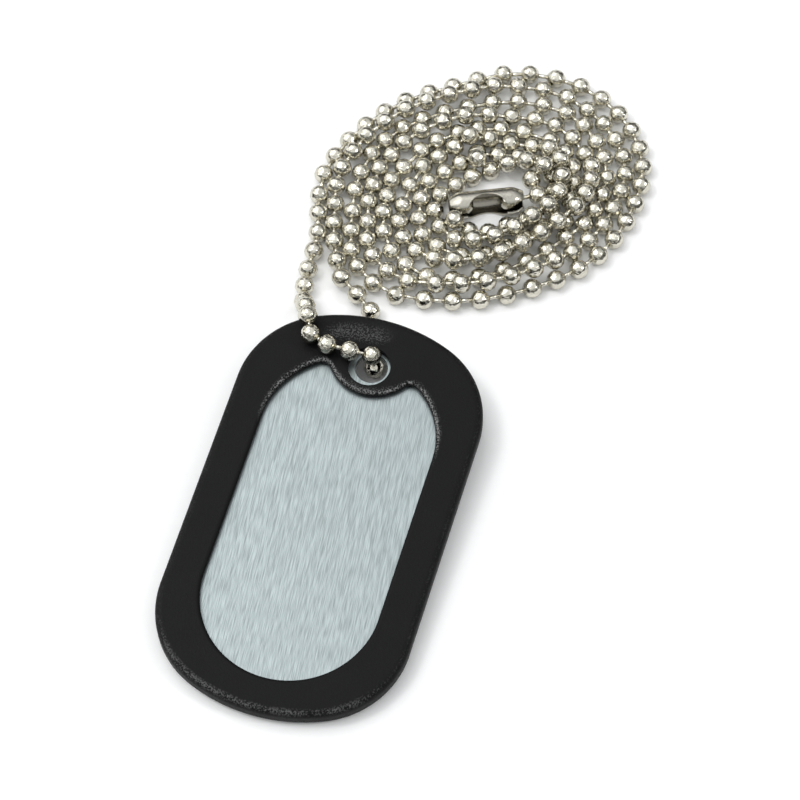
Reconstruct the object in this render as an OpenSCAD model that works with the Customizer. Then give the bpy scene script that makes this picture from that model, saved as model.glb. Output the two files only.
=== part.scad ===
// Identification tag in a rubber silencer, on a ball chain that lies coiled beside its hole end.
// Millimetres. +Y runs along the tag to its hole end, +Z is up, z = 0 is the surface that it lies on.
// The origin is on that surface, under the middle of the tag.

/* [Tag] */
// width of the metal tag
tag_w = 28.6; // [28:0.1:29.2]
// length of the metal tag
tag_l = 50.8; // [50:0.1:51.4]
// thickness of the metal tag
tag_t = 0.8; // [0.7:0.1:1]
// radius of the tag's corners
tag_corner_r = 10.4; // [9.6:0.1:11.2]
// radius of the arcs across the tag's ends
tag_end_r = 20; // [18:0.5:22]
// diameter of the hole in the tag
hole_d = 4; // [3.8:0.1:4.4]
// distance from the end of the tag to the middle of its hole
hole_inset = 4.6; // [4.4:0.1:4.8]

/* [Silencer] */
// overall thickness of the rubber
rubber_t = 2.8; // [2.7:0.1:3]
// rubber beyond the long sides of the tag
rubber_side = 1.6; // [1.3:0.1:1.9]
// rubber beyond the ends of the tag
rubber_end = 2.3; // [2:0.1:2.6]
// radius of the rounded outer edges
rubber_edge_r = 0.9; // [0.5:0.1:1.1]
// width of the window in each face
window_w = 22.2; // [21:0.1:23]
// length of the window if it had no tongue
window_l = 44.7; // [43:0.1:45.5]
// how far the window sits toward the plain end
window_shift = 0.9; // [0.5:0.1:1.3]
// radius of the tongue round the hole
tongue_r = 6; // [5.6:0.1:6.4]
// the tongue's centre beyond the middle of the hole
tongue_shift = 1.8; // [1.5:0.1:2.1]
// radius of the window's corners beside the tongue
ear_r = 1.2; // [0.8:0.1:1.5]
// diameter of the hole in the rubber
rubber_hole_d = 5.4; // [5:0.1:5.8]
// depth of the dished hollow beyond the hole
dish_depth = 0.3; // [0.1:0.05:0.4]

/* [Chain] */
// diameter of a ball
ball_d = 2.4; // [2.35:0.05:2.45]
// wall of a ball
ball_wall = 0.3; // [0.25:0.05:0.35]
// diameter of the holes in a ball
ball_hole_d = 1.1; // [1:0.05:1.15]
// thickness of the links
link_d = 0.7; // [0.6:0.05:0.75]
// number of balls from the hole to the clasp, over the rubber
balls_over = 120; // [119:1:121]
// number of balls from the hole to the clasp, under the tag
balls_under = 104; // [103:1:105]

/* [Coil] */
// outer radius of the coil, taken where it is widest
coil_r = 26; // [25.6:0.1:26.4]
// position of the coil's middle across the tag
coil_x = 5.4; // [5:0.1:5.8]
// position of the coil's middle along the tag
coil_y = 53.6; // [53.4:0.1:54]
// direction of the coil's long way, turned from across the tag
coil_turn = 17; // [12:1:22]
// share of the full pitch where the coil runs across its long way
cross_pitch = 0.8; // [0.76:0.01:0.9]
// share of the full pitch at the middle of the coil
inner_pitch = 0.72; // [0.7:0.01:0.76]
// share of the full pitch on top of the tag
top_pitch = 0.8; // [0.76:0.01:0.86]
// share of the full pitch where the chain drops off the rubber's end
drop_pitch = 0.67; // [0.66:0.01:0.72]

/* [Clasp] */
// length of the clasp
clasp_l = 9.9; // [9.7:0.1:10.3]
// thickness of its sheet
clasp_t = 0.3; // [0.25:0.05:0.35]
// room round the end balls inside it
clasp_room = 0.3; // [0.2:0.05:0.35]
// width of the slot that the links slide in
clasp_slot = 1.5; // [1.4:0.1:1.6]
// radius of the arch cut into both leaves
clasp_arch_r = 2.9; // [2.6:0.1:3.1]

/* [Hidden] */
metal = [0.69, 0.74, 0.76];
rubber = [0.13, 0.13, 0.13];
nickel = [0.72, 0.70, 0.62];
fit = 0.1;
over = 1;

hole_y = tag_l/2 - hole_inset;
sil_w = tag_w + 2*rubber_side;
sil_l = tag_l + 2*rubber_end;
sil_corner_r = tag_corner_r + rubber_side;
// a 5-12-13 triangle puts the corners' centres and the end arcs' centres on round numbers
sil_end_r = sil_corner_r + 13/5*(sil_w/2 - sil_corner_r);
lip_t = (rubber_t - tag_t)/2 - fit;
plate_z = lip_t + fit;
win_r = window_w/2;
win_top = (window_l - window_w)/2 - window_shift;
win_bot = -(window_l - window_w)/2 - window_shift;
tongue_y = hole_y + tongue_shift;
ball_r = ball_d/2;
ball_gap = ball_d - 3*fit;
ball_room = ball_d + 1.75*fit;
push_rounds = 60;
dish_r = 5;
dish_inset = 2.7;
dish_from = 86;
dish_to = 112;
link_sides = 6;
link_reach = ball_r - 0.1;
clasp_taper = 1.5;
clasp_mouth_r = 0.8;
clasp_ball = 2;
clasp_arch_drop = 0.1;
clasp_r = ball_r + clasp_room + clasp_t;
clasp_turn = 24;
clasp_roll = 15;
clasp_x = 6.5;
clasp_y = 50.5;

// the hole in the rubber sits a little nearer to the window than the hole in the tag
rubber_hole_at = [-0.2, hole_y - 0.3];

// the balls under the rubber's end lift it
under_y = rubber_hole_at[1] + rubber_hole_d/2;
tilt = asin((ball_d + fit)/(sil_l/2 - rubber_edge_r + under_y));

// height of a ball's centre where it lies on the rubber
function on_top(y) = (y + sil_l/2 - rubber_edge_r)*tan(tilt) + rubber_t/cos(tilt) + ball_r + fit;

// the coil's turns, as shares of coil_r: how far out the first, middle and last turn lie at each bearing
turns = 4;
fine = 3;
per_turn = 30;
climb = 0.03;
floor_from = -0.11;
floor_to = 3.72;
groove_from = -0.1;
groove_to = 3.42;
coil_table = [
    // bearing, outer, middle, inner
    [0, 0.75, 0.42, 0.02],
    [30, 0.67, 0.37, 0.03],
    [60, 0.65, 0.365, 0.08],
    [90, 0.76, 0.405, 0.06],
    [120, 0.88, 0.485, 0.16],
    [150, 0.915, 0.535, 0.28],
    [180, 0.845, 0.495, 0.3],
    [210, 0.775, 0.455, 0.25],
    [240, 0.75, 0.48, 0.25],
    [270, 0.815, 0.555, 0.27],
    [300, 0.98, 0.585, 0.195],
    [330, 0.84, 0.49, 0.105]
];

// the chain's way on both sides of the hole, out to the coil: over the rubber, and under the tag
lead_over = [
    [-0.3, hole_y + 0.9, on_top(hole_y) - 1],
    [-3, hole_y + 0.2, on_top(hole_y)],
    [-5.8, hole_y + 0.2, on_top(hole_y)],
    [-8.6, 22.1, on_top(22.1)],
    [-9.6, 24.3, on_top(24.3)],
    [-10.1, 25.5, on_top(25.5) - 0.5],
    [-10.7, 26.6, 4.8],
    [-11.3, 28, 3],
    [-11.9, 29.4, 1.6],
    [-12.2, 30.5, ball_r],
    [-12.8, 33.2, ball_r]
];
lead_under = [
    [-0.2, hole_y + 1.6, ball_r],
    [-0.7, hole_y + 4.8, ball_r],
    [-3, 30.2, ball_r],
    [-5.5, 32.3, ball_r],
    [-8.3, 34, 1.6]
];

// where the chain drops off the rubber's end
drop_x = -7.6;
drop_y = 33;

// its way from the coil into the two ends of the clasp
tail_over = [[2.9, 46.3, 1.6], clasp_end(-1)];
tail_under = [[12.2, 55.7, 2.3], [12.5, 53, 1.6], clasp_end(1)];
route_over = smooth(concat(
    lead_over,
    [for (k = [round(floor_from*per_turn) : round(floor_to*per_turn)]) floor_strand(k/per_turn)],
    tail_over
));
route_under = smooth(concat(
    lead_under,
    [for (k = [round(groove_from*per_turn) : round(groove_to*per_turn)]) groove_strand(k/per_turn)],
    tail_under
));
over_at = spread(route_over, balls_over);
under_at = spread(route_under, balls_under);
balls = balls_over + balls_under;
ball_at = apart(concat([for (i = [balls_over - 1 : -1 : 0]) over_at[i]], under_at), push_rounds);
way_at = [for (i = [0 : balls - 1])
    let (d = ball_at[min(balls - 1, i + 1)] - ball_at[max(0, i - 1)]) d/norm(d)];

// the circle that rounds the window's corner touches the window's end and the tongue
ear_span = tongue_y - win_top;
ear_up = (pow(win_r - ear_r, 2) - pow(tongue_r + ear_r, 2) + ear_span*ear_span)/(2*ear_span);
ear = [sqrt(pow(win_r - ear_r, 2) - ear_up*ear_up), win_top + ear_up];
ear_win = atan2(ear[1] - win_top, ear[0]);
ear_tongue = atan2(tongue_y - ear[1], -ear[0]);

// outline of the tag: two straight sides, four corners and an arc across each end
function corner_x(w, rc) = w/2 - rc;
function corner_y(w, l, rc, re) = l/2 - re + sqrt(pow(re - rc, 2) - pow(corner_x(w, rc), 2));
function corner_a(w, rc, re) = acos(corner_x(w, rc)/(re - rc));

module outline(w, l, rc, re) {
    cx = corner_x(w, rc);
    cy = corner_y(w, l, rc, re);
    arc_x = cx*re/(re - rc);
    square([w, 2*cy], center = true);
    for (sx = [-1, 1], sy = [-1, 1])
        translate([sx*cx, sy*cy])
            circle(r = rc, $fn = 96);
    for (sy = [-1, 1])
        intersection() {
            translate([0, sy*(l/2 - re)])
                circle(r = re, $fn = 160);
            translate([-arc_x, sy > 0 ? 0 : -l/2])
                square([2*arc_x, l/2]);
        }
}

module tag_outline(grow = 0) {
    outline(tag_w + 2*grow, tag_l + 2*grow, tag_corner_r + grow, tag_end_r + grow);
}

// a flat body with one outline and a round edge all the way along it
module rubber_body() {
    w = sil_w - 2*rubber_edge_r;
    l = sil_l - 2*rubber_edge_r;
    rc = sil_corner_r;
    re = sil_end_r;
    cx = corner_x(sil_w, rc);
    cy = corner_y(sil_w, sil_l, rc, re);
    ca = corner_a(sil_w, rc, re);
    linear_extrude(rubber_t)
        outline(w, l, rc - rubber_edge_r, re - rubber_edge_r);
    for (k = [0, 180])
        rotate([0, 0, k]) {
            translate([0, l/2 + rubber_edge_r - re, 0])
                edge_arc(re, ca, 180 - ca);
            for (m = [0, 1])
                mirror([m, 0, 0])
                    translate([cx, cy, 0])
                        edge_arc(rc, 0, ca);
            translate([sil_w/2 - rubber_edge_r, cy, 0])
                rotate([90, 0, 0])
                    linear_extrude(2*cy)
                        edge_profile();
        }
}

module edge_arc(r, from, to) {
    rotate([0, 0, from])
        rotate_extrude(angle = to - from, $fn = 128)
            translate([r - rubber_edge_r, 0])
                edge_profile();
}

// section through the rubber's edge, with x = 0 where its rounds start
module edge_profile() {
    for (z = [rubber_edge_r, rubber_t - rubber_edge_r])
        translate([0, z])
            circle(r = rubber_edge_r, $fn = 48);
    translate([-rubber_edge_r, 0])
        square([rubber_edge_r, rubber_t]);
    translate([0, rubber_edge_r])
        square([rubber_edge_r, rubber_t - 2*rubber_edge_r]);
}

// the window in both lips
module window() {
    difference() {
        union() {
            for (y = [win_bot, win_top])
                translate([0, y])
                    circle(r = win_r, $fn = 128);
            translate([-win_r, win_bot])
                square([window_w, win_top - win_bot]);
        }
        translate([0, tongue_y])
            circle(r = tongue_r, $fn = 96);
        for (m = [0, 1])
            mirror([m, 0])
                translate(ear)
                    difference() {
                        polygon([
                            [0, 0],
                            3*[cos(ear_win), sin(ear_win)],
                            6*[cos((ear_win + ear_tongue)/2), sin((ear_win + ear_tongue)/2)],
                            3*[cos(ear_tongue), sin(ear_tongue)]
                        ]);
                        circle(r = ear_r, $fn = 48);
                    }
    }
}

module on_slope() {
    translate([0, rubber_edge_r - sil_l/2, 0])
        rotate([tilt, 0, 0])
            translate([0, sil_l/2 - rubber_edge_r, 0])
                children();
}

module hole_through(at, d) {
    translate([at[0], at[1], -over])
        cylinder(d = d, h = rubber_t + 2*over, $fn = 64);
}

// the dished hollow that follows the end of the rubber beyond the hole
module dish() {
    translate([0, sil_l/2 - sil_end_r, 0])
        rotate([0, 0, dish_from])
            rotate_extrude(angle = dish_to - dish_from, $fn = 160)
                translate([sil_end_r - dish_inset, rubber_t + dish_r - dish_depth])
                    circle(r = dish_r, $fn = 96);
}

module tag_plate() {
    color(metal)
        on_slope()
            difference() {
                translate([0, 0, plate_z])
                    linear_extrude(tag_t)
                        tag_outline();
                hole_through([0, hole_y], hole_d);
            }
}

// the rubber with its window, and with the groove that holds the tag behind both lips
module rubber_rim() {
    difference() {
        difference() {
            rubber_body();
            translate([0, 0, -over])
                linear_extrude(rubber_t + 2*over)
                    window();
        }
        translate([0, 0, plate_z - fit])
            linear_extrude(tag_t + 2*fit)
                tag_outline(fit);
    }
}

module silencer() {
    color(rubber)
        on_slope()
            difference() {
                difference() {
                    rubber_rim();
                    hole_through(rubber_hole_at, rubber_hole_d);
                }
                dish();
            }
}

function spline(a, b, c, d, f) =
    b + f*((c - a)/2 + f*(a - 2.5*b + 2*c - d/2 + f*(1.5*(b - c) + (d - a)/2)));

// one row of the coil's table at any bearing
function coil_row(a) =
    let (n = len(coil_table), x = (a/360 - floor(a/360))*n, i = floor(x), f = x - i)
    spline(coil_table[(i + n - 1) % n], coil_table[i], coil_table[(i + 1) % n], coil_table[(i + 2) % n], f);

// distance from the coil's middle after v turns
function turn_r(a, v) =
    let (c = coil_row(a), w = v/turns)
    coil_r*(c[1]*(1 - 2*w)*(1 - w) + c[2]*4*w*(1 - w) + c[3]*w*(2*w - 1));

// half the room between the turns on both sides
function half_row(a, v) = (turn_r(a, v - 0.5) - turn_r(a, v + 0.5))/2;

function floor_strand(u) =
    let (a = 360*u, r = turn_r(a, u))
    [coil_x - r*cos(a), coil_y + r*sin(a), ball_r];

// the second strand lies in the groove between two turns of the first
function groove_strand(u) =
    let (
        a = 360*u,
        r = turn_r(a, u + 0.5),
        g = half_row(a, u + 0.5),
        ramp = min(1, (u - groove_from)/climb)
    )
    [coil_x - r*cos(a), coil_y + r*sin(a), ball_r + ramp*sqrt(max(0, ball_gap*ball_gap - g*g))];

function smooth(p) =
    let (n = len(p) - 1)
    concat(
        [for (i = [0 : n - 1], k = [0 : fine - 1])
            spline(p[max(0, i - 1)], p[i], p[i + 1], p[min(n, i + 2)], k/fine)],
        [p[n]]
    );

// length of one step of the route, counted in shares of the full pitch
function step(p, q) =
    let (
        d = q - p,
        along = (d[0]*cos(coil_turn) + d[1]*sin(coil_turn))/norm(d),
        m = (p + q)/2,
        out = min(1, norm([m[0] - coil_x, m[1] - coil_y])/(coil_r*0.8)),
        drop = m[0] < drop_x && m[1] < drop_y,
        top = m[2] > 2*ball_d,
        turning = (cross_pitch + (1 - cross_pitch)*along*along)*(inner_pitch + (1 - inner_pitch)*out)
    )
    norm(d)/(drop ? drop_pitch : top ? top_pitch : turning);

function running(p) = [
    for (i = 0, s = 0; i < len(p); s = s + (i < len(p) - 1 ? step(p[i], p[i + 1]) : 0), i = i + 1) s
];

// n places along a route, the first and the last at its ends
function spread(p, n) =
    let (
        run = running(p),
        way = [for (k = [0 : 2]) [for (i = [0 : len(p) - 1]) [run[i], p[i][k]]]],
        l = run[len(run) - 1]
    )
    [for (i = [0 : n - 1]) [for (k = [0 : 2]) lookup(l*i/(n - 1), way[k])]];

// balls nearer than ball_room push each other away, clear of the clasp and the floor; both end balls stay
function apart(p, rounds) =
    rounds == 0 ? p : apart([for (i = [0 : balls - 1])
        i == 0 || i == balls - 1 ? p[i] : clear(p[i] + total([for (b = p) push(p[i] - b)]))], rounds - 1);
function push(d) = let (l = norm(d)) l > 0 && l < ball_room ? d/l*(ball_room - l)*0.55 : [0, 0, 0];
function total(v) = [for (x = v) 1]*v;
function clear(a) =
    let (
        way = [cos(clasp_turn), sin(clasp_turn), 0],
        mid = [clasp_x, clasp_y, clasp_r],
        end = clasp_l/2 - ball_r,
        d = a - mid - way*max(-end, min(end, (a - mid)*way)),
        off = a + d/norm(d)*max(0, clasp_r + ball_r + 1.5*fit - norm(d))
    )
    [off[0], off[1], max(ball_r, off[2])];

// where the end ball lies inside the clasp, toward +X or -X along it
function clasp_end(e) =
    let (d = e*(clasp_l/2 - clasp_ball))
    [clasp_x + d*cos(clasp_turn), clasp_y + d*sin(clasp_turn), clasp_r];

// the part of v that is square to the direction d
function square_to(v, d) = let (w = v - d*(v*d)) w/norm(w);

// a rotation that turns +Z into the direction d
function aim(d) = [0, acos(d[2]/norm(d)), atan2(d[1], d[0])];

// a hollow ball, turned about the way of the thread through its two holes
module ball(i) {
    translate(ball_at[i])
        rotate(aim(way_at[i]))
            rotate_extrude($fn = 48)
                difference() {
                    circle(d = ball_d, $fn = 48);
                    circle(d = ball_d - 2*ball_wall, $fn = 48);
                    translate([ball_hole_d/2 - ball_d, -ball_d/2])
                        square(ball_d);
                }
}

module ball_chain() {
    color(nickel)
        for (i = [0 : balls - 1])
            ball(i);
}

// the links as one thread that runs straight through each ball and bends between the balls
module chain_links() {
    ring_at = [for (i = [0 : balls - 1], e = [-1, 1]) ball_at[i] + e*link_reach*way_at[i]];
    side_at = [
        for (i = 0, v = [0, 0, 1]; i < balls; v = square_to(v, way_at[min(balls - 1, i + 1)]), i = i + 1)
        square_to(v, way_at[i])
    ];
    rings = len(ring_at);
    points = [for (j = [0 : rings - 1], k = [0 : link_sides - 1])
        let (i = floor(j/2), a = 360*k/link_sides)
        ring_at[j] + link_d/2*(cos(a)*side_at[i] + sin(a)*cross(way_at[i], side_at[i]))];
    walls = [for (j = [0 : rings - 2], k = [0 : link_sides - 1])
        let (m = (k + 1) % link_sides)
        [j*link_sides + k, (j + 1)*link_sides + k, (j + 1)*link_sides + m, j*link_sides + m]];
    ends = [
        [for (k = [0 : link_sides - 1]) k],
        [for (k = [link_sides - 1 : -1 : 0]) (rings - 1)*link_sides + k]
    ];
    color(nickel)
        polyhedron(points, concat(walls, ends));
}

// a sheet folded into a tube that is open along one side, arched in the middle and drawn in at both ends
module clasp_profile(r, end_r, l) {
    full = l/2 - clasp_taper;
    polygon([[0, -l/2], [end_r, -l/2], [r, -full], [r, full], [end_r, l/2], [0, l/2]]);
}

module clasp() {
    color(nickel)
        translate([clasp_x, clasp_y, clasp_r])
            rotate([-clasp_roll, 0, clasp_turn])
                difference() {
                    rotate([0, 90, 0])
                        rotate_extrude($fn = 96)
                            difference() {
                                clasp_profile(clasp_r, clasp_mouth_r + clasp_t, clasp_l);
                                clasp_profile(clasp_r - clasp_t, clasp_mouth_r, clasp_l - 2*clasp_t);
                            }
                    rotate([0, 90, 0])
                        cylinder(d = clasp_slot, h = clasp_l + over, center = true, $fn = 48);
                    translate([-clasp_l, -clasp_l, -clasp_slot/2])
                        cube([2*clasp_l, clasp_l, clasp_slot]);
                    translate([0, -clasp_arch_r - clasp_arch_drop, -clasp_l/2])
                        cylinder(r = clasp_arch_r, h = clasp_l, $fn = 96);
                }
}

tag_plate();
silencer();
ball_chain();
chain_links();
clasp();
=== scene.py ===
import math

import bmesh
import bpy
from mathutils import Matrix, Vector


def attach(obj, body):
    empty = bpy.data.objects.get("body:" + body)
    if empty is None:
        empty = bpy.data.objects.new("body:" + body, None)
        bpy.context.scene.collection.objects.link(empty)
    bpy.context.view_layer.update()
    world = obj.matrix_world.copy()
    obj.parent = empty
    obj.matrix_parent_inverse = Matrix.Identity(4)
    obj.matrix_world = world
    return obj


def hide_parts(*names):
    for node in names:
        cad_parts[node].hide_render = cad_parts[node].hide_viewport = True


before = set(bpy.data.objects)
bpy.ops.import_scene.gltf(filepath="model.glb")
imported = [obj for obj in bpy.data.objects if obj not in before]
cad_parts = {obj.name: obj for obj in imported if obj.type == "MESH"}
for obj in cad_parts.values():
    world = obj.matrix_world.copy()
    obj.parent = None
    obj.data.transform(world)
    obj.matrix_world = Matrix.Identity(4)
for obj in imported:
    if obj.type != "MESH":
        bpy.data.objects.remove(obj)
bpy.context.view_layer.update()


# The table: a wide sheet of white card with a faint tooth, that the tag and its chain lie on. It is only the
# ground, and isn't part of the object.
MM = 0.001
CARD_SIDE = 3.0
TOOTH_SCALE, TOOTH_DARK, TOOTH_LIGHT = 900, 0.94, 0.98


def new_material(name):
    made = bpy.data.materials.new(name)
    made.use_nodes = True
    nodes = made.node_tree.nodes
    return made, nodes, made.node_tree.links, nodes["Principled BSDF"]


def spread_between(nodes, links, source, target, low, high, start=0.25, stop=0.75):
    """Feeds target with source, drawn out from start..stop to low..high."""
    made = nodes.new("ShaderNodeMapRange")
    made.inputs["From Min"].default_value = start
    made.inputs["From Max"].default_value = stop
    made.inputs["To Min"].default_value = low
    made.inputs["To Max"].default_value = high
    links.new(source, made.inputs["Value"])
    links.new(made.outputs["Result"], target)


bpy.ops.object.select_all(action="DESELECT")
bpy.ops.mesh.primitive_plane_add(size=CARD_SIDE)
card = bpy.context.object
card.name = "card"
card_white, nodes, links, shader = new_material("card_white")
shader.inputs["Roughness"].default_value = 0.75
shader.inputs["Specular IOR Level"].default_value = 0.2
where = nodes.new("ShaderNodeTexCoord")
tooth = nodes.new("ShaderNodeTexNoise")
tooth.inputs["Scale"].default_value = TOOTH_SCALE
links.new(where.outputs["Object"], tooth.inputs["Vector"])
tint, colour = tooth.outputs["Fac"], shader.inputs["Base Color"]
spread_between(nodes, links, tint, colour, low=TOOTH_DARK, high=TOOTH_LIGHT, start=0, stop=1)
card.data.materials.append(card_white)


# The light: one very big soft box on the far left, with a small lamp under it and another on the right, in
# a room with a pale ceiling and darker walls.
CAMERA_TURN = math.radians(17.03)
LOOK_AT = Vector((4.09, 19.57, 0)) * MM
TO_RIGHT = Vector((math.cos(CAMERA_TURN), math.sin(CAMERA_TURN), 0))
TO_FAR = Vector((-TO_RIGHT.y, TO_RIGHT.x, 0))
TO_CEILING = Vector((0, 0, 1))
WALL_TOP, CEILING_EDGE = 0.35, 0.8
WALL_GREY, CEILING_WHITE = (0.11, 0.11, 0.105, 1), (1.0, 1.02, 1.03, 1)


def add_lamp(name, right, far, up, size, power):
    """A round lamp that points at the middle of the picture, from metres to its right, far side and top."""
    place = LOOK_AT + TO_RIGHT * right + TO_FAR * far + TO_CEILING * up
    bpy.ops.object.light_add(type="AREA", location=place)
    lamp = bpy.context.object
    lamp.name = name
    lamp.data.shape = "DISK"
    lamp.data.size = size
    lamp.data.energy = power
    lamp.rotation_mode = "QUATERNION"
    lamp.rotation_quaternion = (LOOK_AT - lamp.location).to_track_quat("-Z", "Y")


add_lamp("soft_box_left", right=-0.7, far=0.35, up=0.85, size=1.8, power=9)
add_lamp("lamp_left", right=-0.42, far=0.06, up=0.75, size=0.16, power=0.9)
add_lamp("lamp_right", right=0.55, far=-0.1, up=0.5, size=0.16, power=0.8)
room = bpy.data.worlds.new("room")
room.use_nodes = True
nodes, links = room.node_tree.nodes, room.node_tree.links
way_out = nodes.new("ShaderNodeTexCoord")
height = nodes.new("ShaderNodeSeparateXYZ")
walls = nodes.new("ShaderNodeValToRGB")
walls.color_ramp.elements[0].position = WALL_TOP
walls.color_ramp.elements[0].color = WALL_GREY
walls.color_ramp.elements[1].position = CEILING_EDGE
walls.color_ramp.elements[1].color = CEILING_WHITE
links.new(way_out.outputs["Generated"], height.inputs["Vector"])
links.new(height.outputs["Z"], walls.inputs["Fac"])
links.new(walls.outputs["Color"], nodes["Background"].inputs["Color"])
bpy.context.scene.world = room
bpy.context.scene.view_settings.view_transform = "Standard"


# The camera: it stands at the photograph's angle, 60 degrees above the table and turned 17 degrees, and its
# long lens takes in the tag and the whole coil of chain.
CAMERA_AT = Vector((60.47, -164.49, 333.42)) * MM
SENSOR_WIDTH, LENS_LENGTH, NEAREST = 36, 136.1, 0.01

bpy.ops.object.camera_add(location=CAMERA_AT)
camera = bpy.context.object
camera.rotation_mode = "QUATERNION"
camera.rotation_quaternion = (LOOK_AT - camera.location).to_track_quat("-Z", "Y")
camera.data.sensor_width = SENSOR_WIDTH
camera.data.lens = LENS_LENGTH
camera.data.clip_start = NEAREST
bpy.context.scene.camera = camera


# The tag: a plate stamped from 0.8 mm aluminium sheet, brushed along its length, with one punched hole.
# It is pressed into the rubber, and lies a little tilted because the chain runs under its hole end.
TAG_W, TAG_L, TAG_T = 28.6, 50.8, 0.8
TAG_CORNER, TAG_END, TAG_EDGE = 10.4, 20.0, 0.12
HOLE_R, HOLE_Y = 2, TAG_L / 2 - 4.6
RUBBER_T, RUBBER_END, RUBBER_EDGE = 2.8, 2.3, 0.9
RUBBER_HOLE_R, RUBBER_HOLE_Y = 2.7, HOLE_Y - 0.3
SIL_L = TAG_L + 2 * RUBBER_END
FIT = 0.1
LIP = (RUBBER_T - TAG_T) / 2 - FIT
BALL_D = 2.4
PIVOT = Vector((0, RUBBER_EDGE - SIL_L / 2, 0)) * MM
TILT = math.asin((BALL_D + FIT) / (SIL_L / 2 - RUBBER_EDGE + RUBBER_HOLE_Y + RUBBER_HOLE_R))
ON_SLOPE = Matrix.Translation(PIVOT) @ Matrix.Rotation(TILT, 4, "X") @ Matrix.Translation(-PIVOT)
SIDE_STEPS, CORNER_STEPS, END_STEPS = 12, 28, 20
SMOOTH_ANGLE = 0.6
STREAK_W, STREAK_L, STREAK_TURN, STREAK_DEPTH = 0.11, 2.2, 6.4, 0.01
STREAK_DARK, STREAK_LIGHT = (0.25, 0.285, 0.289), (0.375, 0.424, 0.429)


def arc(cx, cy, r, start, stop, n):
    """n points along an arc in degrees, without its last."""
    turn = [math.radians(start + (stop - start) * i / n) for i in range(n)]
    return [(cx + r * math.cos(a), cy + r * math.sin(a)) for a in turn]


def rounded_loop(w, l, corner, end):
    """The tag's kind of outline: straight sides, four corners, and an arc across each end."""
    cx = w / 2 - corner
    cy = l / 2 - end + math.sqrt((end - corner) ** 2 - cx**2)
    corner_turn = math.degrees(math.acos(cx / (end - corner)))
    quarter = [(w / 2, cy * i / SIDE_STEPS) for i in range(SIDE_STEPS)]
    quarter += arc(cx, cy, corner, 0, corner_turn, CORNER_STEPS)
    quarter += arc(0, l / 2 - end, end, corner_turn, 90, END_STEPS)
    upper = quarter + [(0, l / 2)] + [(-x, y) for x, y in reversed(quarter[1:])]
    return upper + [(-x, -y) for x, y in upper]


def only(piece):
    bpy.ops.object.select_all(action="DESELECT")
    piece.select_set(True)
    bpy.context.view_layer.objects.active = piece


def turn_faces_outwards(piece):
    only(piece)
    bpy.ops.object.mode_set(mode="EDIT")
    bpy.ops.mesh.select_all(action="SELECT")
    bpy.ops.mesh.normals_make_consistent(inside=False)
    bpy.ops.object.mode_set(mode="OBJECT")


def apply_modifier(piece, kind, **values):
    only(piece)
    made = piece.modifiers.new(kind.lower(), kind)
    for key, value in values.items():
        setattr(made, key, value)
    bpy.ops.object.modifier_apply(modifier=made.name)


def cut_away(piece, cutter):
    apply_modifier(piece, "BOOLEAN", object=cutter, operation="DIFFERENCE", solver="EXACT")
    bpy.data.objects.remove(cutter, do_unlink=True)


def put_in_place(piece, matrix):
    """Moves the mesh to its place, so that the piece itself stays at the origin, and shades it smooth."""
    piece.data.transform(matrix)
    piece.data.update()
    only(piece)
    bpy.ops.object.shade_smooth_by_angle(angle=SMOOTH_ANGLE)


def hand_over(piece, name, node, material):
    piece.name = name
    piece.data.materials.clear()
    piece.data.materials.append(material)
    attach(piece, "root")
    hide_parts(node)


outline = rounded_loop(TAG_W, TAG_L, TAG_CORNER, TAG_END)
bpy.ops.object.select_all(action="DESELECT")
bpy.ops.mesh.primitive_circle_add(vertices=len(outline), radius=TAG_W * MM / 2, fill_type="NGON")
plate = bpy.context.object
for vertex, (x, y) in zip(plate.data.vertices, outline):
    vertex.co = Vector((x, y, LIP + FIT)) * MM
bpy.ops.object.mode_set(mode="EDIT")
bpy.ops.mesh.select_all(action="SELECT")
bpy.ops.mesh.extrude_region_move(TRANSFORM_OT_translate={"value": (0, 0, TAG_T * MM)})
bpy.ops.object.mode_set(mode="OBJECT")
turn_faces_outwards(plate)
bpy.ops.mesh.primitive_cylinder_add(
    vertices=64, radius=HOLE_R * MM, depth=6 * MM, location=(0, HOLE_Y * MM, LIP * MM)
)
cut_away(plate, bpy.context.object)
apply_modifier(plate, "BEVEL", width=TAG_EDGE * MM, segments=3, limit_method="ANGLE", angle_limit=0.7)
put_in_place(plate, ON_SLOPE)
apply_modifier(plate, "WEIGHTED_NORMAL", weight=100, keep_sharp=True)


def add_bump(nodes, links, source, depth, shader):
    made = nodes.new("ShaderNodeBump")
    made.inputs["Distance"].default_value = depth
    links.new(source, made.inputs["Height"])
    links.new(made.outputs["Normal"], shader.inputs["Normal"])


def colour_mix(nodes, links, source, target, dark, light, start=0.3, stop=0.7):
    """Feeds target with a colour from dark to light, as source goes from start to stop."""
    made = nodes.new("ShaderNodeValToRGB")
    made.color_ramp.elements[0].position = start
    made.color_ramp.elements[1].position = stop
    made.color_ramp.elements[0].color = (*dark, 1)
    made.color_ramp.elements[1].color = (*light, 1)
    links.new(source, made.inputs["Fac"])
    links.new(made.outputs["Color"], target)


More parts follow.
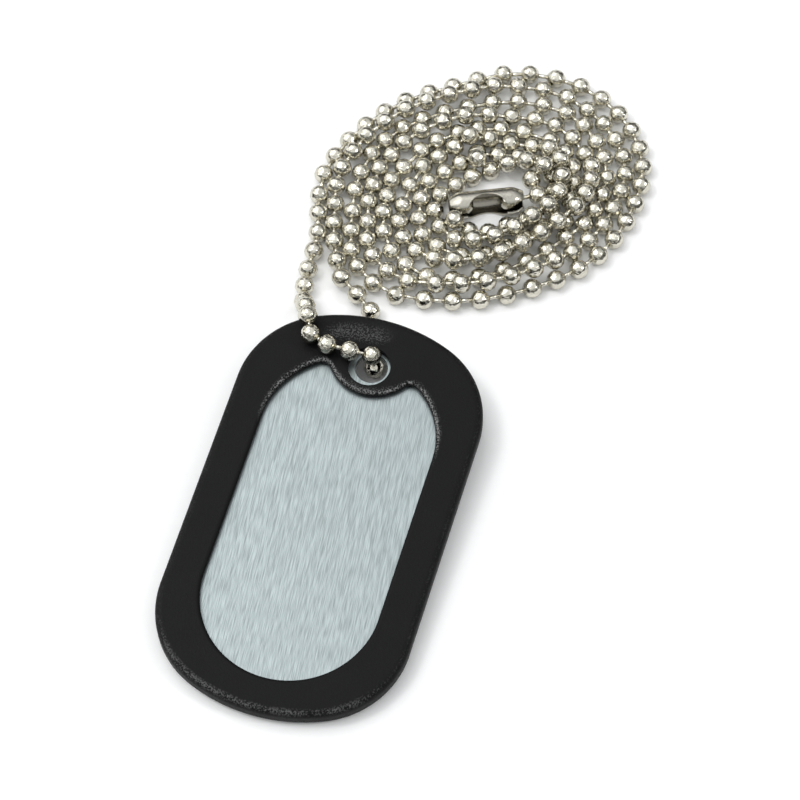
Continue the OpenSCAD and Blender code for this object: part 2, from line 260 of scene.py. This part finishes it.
brushed, nodes, links, shader = new_material("brushed_aluminium")
shader.inputs["Metallic"].default_value = 1
where = nodes.new("ShaderNodeTexCoord")
along = nodes.new("ShaderNodeMapping")
along.vector_type = "TEXTURE"
along.inputs["Scale"].default_value = (STREAK_W * MM, STREAK_L * MM, STREAK_L * MM)
along.inputs["Rotation"].default_value = (0, 0, math.radians(STREAK_TURN))
streaks = nodes.new("ShaderNodeTexNoise")
streaks.inputs["Scale"].default_value = 1
streaks.inputs["Detail"].default_value = 1
links.new(where.outputs["Object"], along.inputs["Vector"])
links.new(along.outputs["Vector"], streaks.inputs["Vector"])
streak = streaks.outputs["Fac"]
colour_mix(nodes, links, streak, shader.inputs["Base Color"], STREAK_DARK, STREAK_LIGHT)
spread_between(nodes, links, streak, shader.inputs["Roughness"], low=0.5, high=0.34)
add_bump(nodes, links, streak, STREAK_DEPTH * MM, shader)
hand_over(plate, "tag", "tag_plate", brushed)


# The silencer: one moulded ring of black rubber, stretched over the tag's edge. A lip lies over both faces,
# a tongue of it carries the hole for the chain, and a shallow dish is moulded beyond the hole.
RUBBER_SIDE, RUBBER_HOLE_X, END_BLUNTNESS = 1.6, -0.2, 13 / 5
SIL_W, SIL_CORNER = TAG_W + 2 * RUBBER_SIDE, TAG_CORNER + RUBBER_SIDE
SIL_END = SIL_CORNER + END_BLUNTNESS * (SIL_W / 2 - SIL_CORNER)
WINDOW_R, WINDOW_L, WINDOW_SHIFT = 11.1, 44.7, 0.9
TONGUE_R, TONGUE_Y, EAR_R = 6.0, HOLE_Y + 1.8, 1.2
WINDOW_TOP = (WINDOW_L / 2 - WINDOW_R) - WINDOW_SHIFT
WINDOW_LOW = -(WINDOW_L / 2 - WINDOW_R) - WINDOW_SHIFT
EAR_STEPS, TONGUE_STEPS = 10, 18
DISH_DEPTH, DISH_INSET, DISH_REACH, DISH_MIDDLE, DISH_TURN = 0.35, 2.7, 1.7, 99, 14
EDGE_ROWS, FACE_ROWS, LIP_ROWS = 7, 16, 9
FACE_START, FACE_SPAN = 0.03, 0.94
LIP_ROUND, LIP_EDGE = LIP / 2, 0.25
# where and how strongly painted highlight specks of grey show: on the rim, on the window's lip and in the
# dish, and faintly everywhere
RIM_ROW, RIM_ROWS, LIP_ROW, LIP_ROWS_GLINT = 4, 3, 24, 2.5
LOW_RIM_Y, LOW_RIM_SPAN, TOP_LIP_Y, TOP_LIP_SPAN = -19, 6, 9, 5
GLINT_ON_RIM, GLINT_ON_LOW_RIM, GLINT_IN_DISH, GLINT_LEAST = 0.1, 0.32, 0.8, 0.04
RUBBER_GRAIN = 0.05
MOULD_BLACK, GLINT_GREY = (0.005, 0.005, 0.005), (0.24, 0.24, 0.24)

# the circle that rounds the window's corner touches the window's end and the tongue
span = TONGUE_Y - WINDOW_TOP
ear_up = ((WINDOW_R - EAR_R) ** 2 - (TONGUE_R + EAR_R) ** 2 + span**2) / (2 * span)
ear_x, ear_y = math.sqrt((WINDOW_R - EAR_R) ** 2 - ear_up**2), WINDOW_TOP + ear_up


def window_loop(grow):
    """The window's contour, moved outward by grow, with as many points as rounded_loop gives."""
    to_window = math.degrees(math.atan2(ear_y - WINDOW_TOP, ear_x))
    to_tongue = math.degrees(math.atan2(TONGUE_Y - ear_y, -ear_x))
    r = WINDOW_R + grow
    turn_steps = CORNER_STEPS + END_STEPS
    quarter = [(r, WINDOW_TOP * i / SIDE_STEPS) for i in range(SIDE_STEPS)]
    quarter += arc(0, WINDOW_TOP, r, 0, to_window, turn_steps - EAR_STEPS - TONGUE_STEPS)
    quarter += arc(ear_x, ear_y, EAR_R + grow, to_window, to_tongue, EAR_STEPS)
    quarter += arc(0, TONGUE_Y, TONGUE_R - grow, to_tongue - 180, -90, TONGUE_STEPS)
    upper = quarter + [(0, TONGUE_Y - TONGUE_R + grow)] + [(-x, y) for x, y in reversed(quarter[1:])]
    lower = [(-r, WINDOW_LOW * i / SIDE_STEPS) for i in range(SIDE_STEPS)]
    lower += arc(0, WINDOW_LOW, r, 180, 360, 2 * turn_steps)
    return upper + lower + [(r, WINDOW_LOW * (SIDE_STEPS - i) / SIDE_STEPS) for i in range(SIDE_STEPS)]


def outer_loop(inset):
    return rounded_loop(SIL_W - 2 * inset, SIL_L - 2 * inset, SIL_CORNER - inset, SIL_END - inset)


def between(outer, inner, share):
    pairs = zip(outer, inner)
    return [((1 - share) * a[0] + share * b[0], (1 - share) * a[1] + share * b[1]) for a, b in pairs]


def limited(value):
    return min(1, max(0, value))


def dished(x, y):
    """How deep the moulded dish beyond the hole is at a point of the front."""
    y_from_middle = y - (SIL_L / 2 - SIL_END)
    across_it = (math.hypot(x, y_from_middle) - (SIL_END - DISH_INSET)) / DISH_REACH
    along_it = (math.degrees(math.atan2(y_from_middle, x)) - DISH_MIDDLE) / DISH_TURN
    return DISH_DEPTH * max(0, 1 - across_it**2 - along_it**4)


def painted_glint(row, y):
    """How strongly painted highlight specks show on the rubber: on its rim, most at the low end, and on the
    lip at the window's top.
    """
    at_low_end = limited((LOW_RIM_Y - y) / LOW_RIM_SPAN)
    at_top = limited((y - TOP_LIP_Y) / TOP_LIP_SPAN)
    rim = max(0, 1 - abs(row - RIM_ROW) / RIM_ROWS) * (GLINT_ON_RIM + GLINT_ON_LOW_RIM * at_low_end)
    window_lip = max(0, 1 - abs(row - LIP_ROW) / LIP_ROWS_GLINT) * at_top
    return max(rim, window_lip, GLINT_LEAST)


# the rows of the moulding's skin, from its side over the rounded edge, the face and the lip into the groove
rows = []
for k in range(EDGE_ROWS):
    a = math.radians(90 * k / (EDGE_ROWS - 1))
    z = RUBBER_T - RUBBER_EDGE + RUBBER_EDGE * math.sin(a)
    rows.append((outer_loop(RUBBER_EDGE * (1 - math.cos(a))), z))
face_edge = rows[-1][0]
for k in range(FACE_ROWS):
    share = FACE_START + FACE_SPAN * k / (FACE_ROWS - 1)
    rows.append((between(face_edge, window_loop(LIP_ROUND), share), RUBBER_T))
for k in range(LIP_ROWS):
    a = math.radians(90 - 180 * k / (LIP_ROWS - 1))
    rows.append((window_loop(LIP_ROUND * (1 - math.cos(a))), RUBBER_T - LIP_ROUND + LIP_ROUND * math.sin(a)))
groove = rounded_loop(TAG_W + 2 * FIT, TAG_L + 2 * FIT, TAG_CORNER + FIT, TAG_END + FIT)
rows.append((groove, RUBBER_T - LIP))
rows += [(loop, RUBBER_T - z) for loop, z in reversed(rows)]

around, across = len(groove), len(rows)
bpy.ops.object.select_all(action="DESELECT")
bpy.ops.mesh.primitive_torus_add(
    major_segments=around, minor_segments=across, major_radius=SIL_W / 2 * MM, minor_radius=RUBBER_T / 2 * MM
)
rubber = bpy.context.object
# the share of painted highlight at each point: grey specks where light catches the rounded rim, the window's
# lip and the dish
glint_share = rubber.data.attributes.new("glint_share", "FLOAT", "POINT")
for i in range(around):
    for j, (loop, z) in enumerate(rows):
        x, y = loop[i]
        depth = dished(x, y) if j < across / 2 and z == RUBBER_T else 0
        rubber.data.vertices[i * across + j].co = Vector((x, y, z - depth)) * MM
        glint_share.data[i * across + j].value = max(painted_glint(min(j, across - 1 - j), y), GLINT_IN_DISH * depth)
turn_faces_outwards(rubber)
bpy.ops.mesh.primitive_cylinder_add(
    vertices=72,
    radius=RUBBER_HOLE_R * MM,
    depth=8 * MM,
    location=(RUBBER_HOLE_X * MM, RUBBER_HOLE_Y * MM, RUBBER_T / 2 * MM),
)
cut_away(rubber, bpy.context.object)
apply_modifier(rubber, "BEVEL", width=LIP_EDGE * MM, segments=3, limit_method="ANGLE", angle_limit=1.1)
put_in_place(rubber, ON_SLOPE)

# a group for the finishes that handling has marked: broad uneven patches, with fine grain on top
handling = bpy.data.node_groups.new("handling_marks", "ShaderNodeTree")
for name in ("Patch Scale", "Grain Scale", "Grain Share"):
    handling.interface.new_socket(name, in_out="INPUT", socket_type="NodeSocketFloat")
handling.interface.new_socket("Mask", in_out="OUTPUT", socket_type="NodeSocketFloat")
nodes, links = handling.nodes, handling.links
given = nodes.new("NodeGroupInput")
put_out = nodes.new("NodeGroupOutput")
where = nodes.new("ShaderNodeTexCoord")
patch = nodes.new("ShaderNodeTexNoise")
patch.inputs["Detail"].default_value = 3
grain = nodes.new("ShaderNodeTexNoise")
grain.inputs["Detail"].default_value = 1
blend = nodes.new("ShaderNodeMix")
links.new(where.outputs["Object"], patch.inputs["Vector"])
links.new(where.outputs["Object"], grain.inputs["Vector"])
links.new(given.outputs["Patch Scale"], patch.inputs["Scale"])
links.new(given.outputs["Grain Scale"], grain.inputs["Scale"])
links.new(given.outputs["Grain Share"], blend.inputs["Factor"])
links.new(patch.outputs["Fac"], blend.inputs["A"])
links.new(grain.outputs["Fac"], blend.inputs["B"])
links.new(blend.outputs["Result"], put_out.inputs["Mask"])


def add_marks(nodes, patch_scale, grain_scale, grain_share):
    made = nodes.new("ShaderNodeGroup")
    made.node_tree = handling
    made.inputs["Patch Scale"].default_value = patch_scale
    made.inputs["Grain Scale"].default_value = grain_scale
    made.inputs["Grain Share"].default_value = grain_share
    return made.outputs["Mask"]


soft_black, nodes, links, shader = new_material("moulded_rubber")
shader.inputs["Specular IOR Level"].default_value = 0.12
marks = add_marks(nodes, patch_scale=260, grain_scale=5200, grain_share=0.7)
# painted highlight: the grain turns grey where the painted glint share is high
glint_reader = nodes.new("ShaderNodeAttribute")
glint_reader.attribute_name = "glint_share"
glint_specks = nodes.new("ShaderNodeMath")
glint_specks.operation = "MULTIPLY"
links.new(glint_reader.outputs["Fac"], glint_specks.inputs[1])
spread_between(nodes, links, marks, glint_specks.inputs[0], low=0, high=1, start=0.44, stop=0.60)
glint_speck, colour = glint_specks.outputs["Value"], shader.inputs["Base Color"]
colour_mix(nodes, links, glint_speck, colour, MOULD_BLACK, GLINT_GREY, start=0.04, stop=0.95)
spread_between(nodes, links, marks, shader.inputs["Roughness"], low=0.62, high=0.42)
add_bump(nodes, links, marks, RUBBER_GRAIN * MM, shader)
hand_over(rubber, "rubber_silencer", "silencer", soft_black)


# The balls: hollow balls of 2.4 mm pressed from nickel-plated steel strip, each with a hole at both ends
# of its way. Their places are read from the CAD node's own balls.
BALL_R = BALL_D / 2
SHOWN_R, SHOWN_POLE = BALL_R + 0.09, 1.1
POLE_ABOVE = BALL_R + 0.05
NICKEL_DARK, NICKEL_LIGHT, BALL_DENTS = (0.50, 0.477, 0.402), (0.78, 0.752, 0.657), 0.25


def middles_of(node):
    """The middle of each loose body of a CAD node, in the order in which they are strung."""
    seen = bmesh.new()
    seen.from_mesh(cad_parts[node].data)
    bmesh.ops.remove_doubles(seen, verts=seen.verts, dist=1e-6)
    middles = []
    left = set(seen.verts)
    for first in list(seen.verts):
        if first not in left:
            continue
        left.discard(first)
        waiting, body = [first], []
        while waiting:
            vertex = waiting.pop()
            body.append(vertex.co.copy())
            for edge in vertex.link_edges:
                other = edge.other_vert(vertex)
                if other in left:
                    left.discard(other)
                    waiting.append(other)
        low = Vector([min(place[k] for place in body) for k in range(3)])
        high = Vector([max(place[k] for place in body) for k in range(3)])
        middles.append((low + high) / 2)
    seen.free()
    return middles


def facing(way):
    """Turns a piece that stands up to lie along the way."""
    return way.to_track_quat("Z", "Y").to_matrix().to_4x4()


def lay_copies(model, places):
    """One piece made of a copy of the model at each place; the model itself is taken away."""
    copies = []
    for place in places:
        one = model.copy()
        one.data = model.data.copy()
        bpy.context.collection.objects.link(one)
        one.data.transform(place)
        copies.append(one)
    bpy.data.objects.remove(model, do_unlink=True)
    bpy.ops.object.select_all(action="DESELECT")
    for one in copies:
        one.select_set(True)
    bpy.context.view_layer.objects.active = copies[0]
    bpy.ops.object.join()
    return bpy.context.object


centres = middles_of("ball_chain")
before, after = centres[:1] + centres[:-1], centres[1:] + centres[-1:]
ways = [(b - a).normalized() for a, b in zip(before, after)]

bpy.ops.object.select_all(action="DESELECT")
bpy.ops.mesh.primitive_uv_sphere_add(segments=12, ring_count=7, radius=SHOWN_R * MM)
model_ball = bpy.context.object
for vertex in model_ball.data.vertices:
    if abs(vertex.co.z) > POLE_ABOVE * MM:
        vertex.co.z = math.copysign(SHOWN_POLE * MM, vertex.co.z)
for polygon in model_ball.data.polygons:
    polygon.use_smooth = True
balls = lay_copies(model_ball, [Matrix.Translation(c) @ facing(way) for c, way in zip(centres, ways)])

nickel, nodes, links, shader = new_material("nickel_plate")
shader.inputs["Metallic"].default_value = 1
marks = add_marks(nodes, patch_scale=900, grain_scale=2300, grain_share=0.4)
colour_mix(nodes, links, marks, shader.inputs["Base Color"], NICKEL_DARK, NICKEL_LIGHT)
spread_between(nodes, links, marks, shader.inputs["Roughness"], low=0.09, high=0.22)
add_bump(nodes, links, marks, BALL_DENTS * MM, shader)
hand_over(balls, "chain_balls", "ball_chain", nickel)


# The links: short stiff wires of the same plated steel, one between each two balls. Each has a head inside
# both of its balls, so that every ball is free to turn and slide.
WIRE_R, WIRE_START = 0.29, 0.75

bpy.ops.object.select_all(action="DESELECT")
bpy.ops.mesh.primitive_cylinder_add(vertices=8, radius=WIRE_R * MM, depth=1)
model_wire = bpy.context.object
for polygon in model_wire.data.polygons:
    polygon.use_smooth = len(polygon.vertices) == 4
places = []
for a, b in zip(centres, centres[1:]):
    length = (b - a).length - 2 * WIRE_START * MM
    places.append(Matrix.Translation((a + b) / 2) @ facing(b - a) @ Matrix.Diagonal((1, 1, length, 1)))
hand_over(lay_copies(model_wire, places), "chain_wires", "chain_links", nickel)


# The clasp: one strip folded into a tube that stays open along a slot. Both edges are arched in the middle,
# both ends are drawn in, and the last ball of each end of the chain is snapped inside.
CLASP_L, CLASP_T, CLASP_ROOM, CLASP_EDGE = 9.9, 0.3, 0.3, 0.06
CLASP_R = BALL_R + CLASP_ROOM + CLASP_T
SLOT_W, ARCH_R, ARCH_DROP = 1.5, 2.9, 0.1
DRAWN_L, DRAWN_R, DRAWN_CURVE = 1.6, 1.15, 1.6
CLASP_AT, CLASP_TURN, CLASP_ROLL = (6.5, 50.5), 24, -15
STATIONS, STEPS = 60, 48
# painted shade: the strip is coloured darker from this share of its thickness inward, so that the tube's
# inside looks shaded
PAINTED_SHADE_FROM, STRIP_GRAIN = 0.8, 0.01
PAINTED_SHADE_INSIDE, OUTSIDE_LIGHT = (0.27, 0.257, 0.22), (0.50, 0.48, 0.42)


def tube_r(x):
    """The clasp's outer radius at a place along it."""
    drawn = max(0, abs(x) - (CLASP_L / 2 - DRAWN_L)) / DRAWN_L
    return CLASP_R - (CLASP_R - DRAWN_R) * drawn**DRAWN_CURVE


def edge_reach(x):
    """How far the strip's edge reaches past the tube's middle: to the slot, or less where it is arched."""
    reach = math.sqrt(max(0, tube_r(x) ** 2 - (SLOT_W / 2) ** 2))
    if abs(x) < ARCH_R:
        reach = min(reach, ARCH_R + ARCH_DROP - math.sqrt(ARCH_R**2 - x * x))
    return reach


bpy.ops.object.select_all(action="DESELECT")
bpy.ops.mesh.primitive_grid_add(x_subdivisions=STATIONS, y_subdivisions=STEPS, size=CLASP_L * MM)
clasp = bpy.context.object
for vertex in clasp.data.vertices:
    x = vertex.co.x / MM
    share = vertex.co.y / (CLASP_L * MM) + 0.5
    r = tube_r(x)
    edge_turn = math.acos(max(-1, min(1, edge_reach(x) / r)))
    a = edge_turn + (2 * math.pi - 2 * edge_turn) * share
    vertex.co = Vector((x, -r * math.cos(a), r * math.sin(a))) * MM
turn_faces_outwards(clasp)
apply_modifier(clasp, "SOLIDIFY", thickness=CLASP_T * MM, offset=-1, use_even_offset=True)
apply_modifier(clasp, "BEVEL", width=CLASP_EDGE * MM, segments=2, limit_method="ANGLE", angle_limit=0.9)
# 1 on the tube's outer face, falling to 0 inside, where painted shade darkens the colour
free_of_painted_shade = clasp.data.attributes.new("free_of_painted_shade", "FLOAT", "POINT")
for vertex in clasp.data.vertices:
    x, y, z = vertex.co / MM
    free_of_painted_shade.data[vertex.index].value = limited(1 - (tube_r(x) - math.hypot(y, z)) / (PAINTED_SHADE_FROM * CLASP_T))
rolled = Matrix.Rotation(math.radians(CLASP_TURN), 4, "Z") @ Matrix.Rotation(math.radians(CLASP_ROLL), 4, "X")
put_in_place(clasp, Matrix.Translation(Vector((*CLASP_AT, CLASP_R)) * MM) @ rolled)
apply_modifier(clasp, "WEIGHTED_NORMAL", weight=60, keep_sharp=True)

folded, nodes, links, shader = new_material("folded_nickel_strip")
shader.inputs["Metallic"].default_value = 1
marks = add_marks(nodes, patch_scale=300, grain_scale=4000, grain_share=0.4)
# painted shade: the inner face of the tube takes the dark colour, the outer face the nickel's own tone
side = nodes.new("ShaderNodeAttribute")
side.attribute_name = "free_of_painted_shade"
lit = nodes.new("ShaderNodeMath")
lit.operation = "MULTIPLY"
links.new(side.outputs["Fac"], lit.inputs[0])
links.new(marks, lit.inputs[1])
tone, colour = lit.outputs["Value"], shader.inputs["Base Color"]
colour_mix(nodes, links, tone, colour, PAINTED_SHADE_INSIDE, OUTSIDE_LIGHT, start=0.05, stop=0.55)
spread_between(nodes, links, marks, shader.inputs["Roughness"], low=0.16, high=0.28)
add_bump(nodes, links, marks, STRIP_GRAIN * MM, shader)
hand_over(clasp, "clasp_tube", "clasp", folded)
